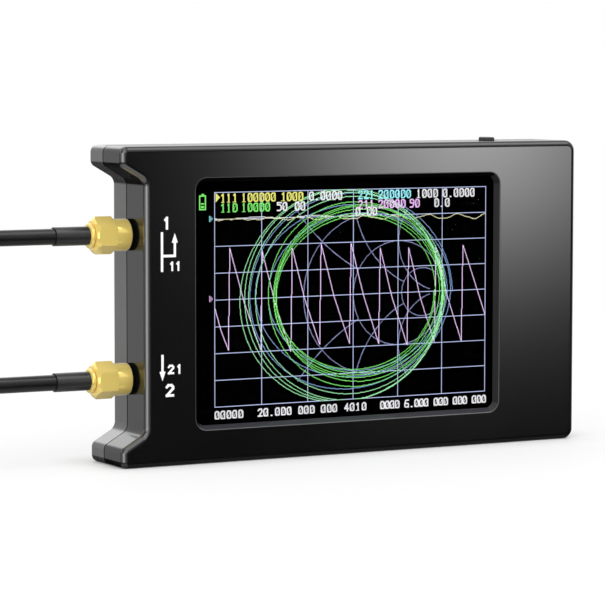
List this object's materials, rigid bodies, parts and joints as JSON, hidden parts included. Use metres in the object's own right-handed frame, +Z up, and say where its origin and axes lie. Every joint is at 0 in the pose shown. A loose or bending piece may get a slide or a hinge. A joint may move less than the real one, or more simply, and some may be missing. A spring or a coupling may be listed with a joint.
{
  "type": "antenna analyzer",
  "caption": "Handheld antenna analyzer with a wide colour screen, SMA ports on a recessed side, screwed-on test leads and a small jog lever on top.",
  "frame": {"origin": "middle of the case's underside, on the surface it stands on", "axes": "the screen faces -Y, the ports leave the side towards -X, and +Z is up with the case standing on its long side"},
  "size_m": [0.3219, 0.021, 0.0789],
  "materials": {
    "case_plastic": "black injection-moulded case, satin gloss",
    "screw_steel": "black-nickel machine screw",
    "foam_black": "black foam gasket and tape",
    "touch_glass": "clear touch panel over a black border, glossy",
    "lcd_cell": "display cell, showing a plain graph",
    "backlight_film": "white light guide",
    "frame_steel": "stamped display tray",
    "ribbon_amber": "polyimide flat cable",
    "board_green": "glass-epoxy board with green solder mask",
    "chip_black": "moulded chip package",
    "can_silver": "tinned shield can",
    "crystal_metal": "oscillator can",
    "passive_tan": "chip capacitors and resistors",
    "battery_foil": "laminated foil pouch",
    "battery_tape": "double-sided tape",
    "connector_ivory": "ivory connector housing",
    "wire_red": "insulated wire",
    "socket_steel": "stamped socket shell",
    "socket_black": "black socket insert",
    "switch_black": "switch body",
    "knob_black": "black control knob",
    "gold_plate": "gold-plated brass",
    "ptfe_white": "white dielectric",
    "gasket_black": "black sealing ring",
    "cable_black": "black coaxial cable jacket",
    "shrink_black": "black heat-shrink sleeve"
  },
  "bodies": {
    "case": {"front_shell": "case_plastic", "rear_shell": "case_plastic", "case_screws": "screw_steel", "window_gasket": "foam_black", "touch_panel": "touch_glass", "lcd_panel": "lcd_cell", "lcd_backlight": "backlight_film", "lcd_frame": "frame_steel", "lcd_ribbon": "ribbon_amber", "lcd_tape": "foam_black", "ribbon_connector": "connector_ivory", "main_board": "board_green", "mixer_chips": "chip_black", "synthesiser_chips": "chip_black", "processor_chip": "chip_black", "reference_oscillator": "crystal_metal", "power_chips": "chip_black", "passives": "passive_tan", "battery": "battery_foil", "battery_tape": "battery_tape", "battery_connector": "connector_ivory", "battery_wires": "wire_red", "usb_shell": "socket_steel", "usb_insert": "socket_black", "card_socket": "socket_steel", "power_switch_body": "switch_black", "jog_switch_body": "switch_black", "rf_shield_1": "can_silver", "port_1_jack": "gold_plate", "port_1_insulator": "ptfe_white", "port_1_contact": "gold_plate", "port_1_gasket": "gasket_black", "rf_shield_2": "can_silver", "port_2_jack": "gold_plate", "port_2_insulator": "ptfe_white", "port_2_contact": "gold_plate", "port_2_gasket": "gasket_black"},
    "power_knob": {"power_switch_knob": "knob_black"},
    "jog_lever": {"jog_rocker": "knob_black"},
    "jog_cap": {"jog_cap": "knob_black"},
    "lead_1": {"lead_1_cable": "cable_black", "lead_1_plug_bodies": "gold_plate", "lead_1_plug_insulators": "ptfe_white", "lead_1_plug_pins": "gold_plate", "lead_1_rings": "gold_plate", "lead_1_shrink_sleeves": "shrink_black"},
    "nut_1": {"lead_1_nut": "gold_plate"},
    "far_nut_1": {"lead_1_far_nut": "gold_plate"},
    "lead_2": {"lead_2_cable": "cable_black", "lead_2_plug_bodies": "gold_plate", "lead_2_plug_insulators": "ptfe_white", "lead_2_plug_pins": "gold_plate", "lead_2_rings": "gold_plate", "lead_2_shrink_sleeves": "shrink_black"},
    "nut_2": {"lead_2_nut": "gold_plate"},
    "far_nut_2": {"lead_2_far_nut": "gold_plate"}
  },
  "joints": [
    {"name": "lead_1_pull", "type": "slide", "parent": "case", "child": "lead_1", "axis": [-1, 0, 0], "range_m": [0, 0.00317]},
    {"name": "nut_1_spin", "type": "hinge", "parent": "lead_1", "child": "nut_1", "pos_m": [-0.0645, -0.0001, 0.0563], "axis": [-1, 0, 0], "range_deg": [0, 1620]},
    {"name": "far_nut_1_spin", "type": "hinge", "parent": "lead_1", "child": "far_nut_1", "pos_m": [-0.2325, 0.0065, 0.00467], "axis": [1, 0, 0], "continuous": true},
    {"name": "lead_2_pull", "type": "slide", "parent": "case", "child": "lead_2", "axis": [-1, 0, 0], "range_m": [0, 0.00317]},
    {"name": "nut_2_spin", "type": "hinge", "parent": "lead_2", "child": "nut_2", "pos_m": [-0.0645, -0.0001, 0.021], "axis": [-1, 0, 0], "range_deg": [0, 1620]},
    {"name": "far_nut_2_spin", "type": "hinge", "parent": "lead_2", "child": "far_nut_2", "pos_m": [-0.2512, -0.0065, 0.00467], "axis": [1, 0, 0], "continuous": true},
    {"name": "jog_tilt", "type": "hinge", "parent": "case", "child": "jog_lever", "pos_m": [0.044, 0.0006, 0.0736], "axis": [0, 1, 0], "range_deg": [-8, 8], "stiffness_Nm_per_rad": 0.02},
    {"name": "jog_press", "type": "slide", "parent": "jog_lever", "child": "jog_cap", "axis": [0, 0, -1], "range_m": [0, 0.0004], "stiffness_N_per_m": 800, "springref_m": -0.0005},
    {"name": "power_slide", "type": "slide", "parent": "case", "child": "power_knob", "axis": [0, 0, 1], "range_m": [0, 0.002]}
  ],
  "couplings": [
    {"joint": "nut_1_spin", "follows": "lead_1_pull", "rad_per_m": 8904.7},
    {"joint": "nut_2_spin", "follows": "lead_2_pull", "rad_per_m": 8904.7}
  ]
}
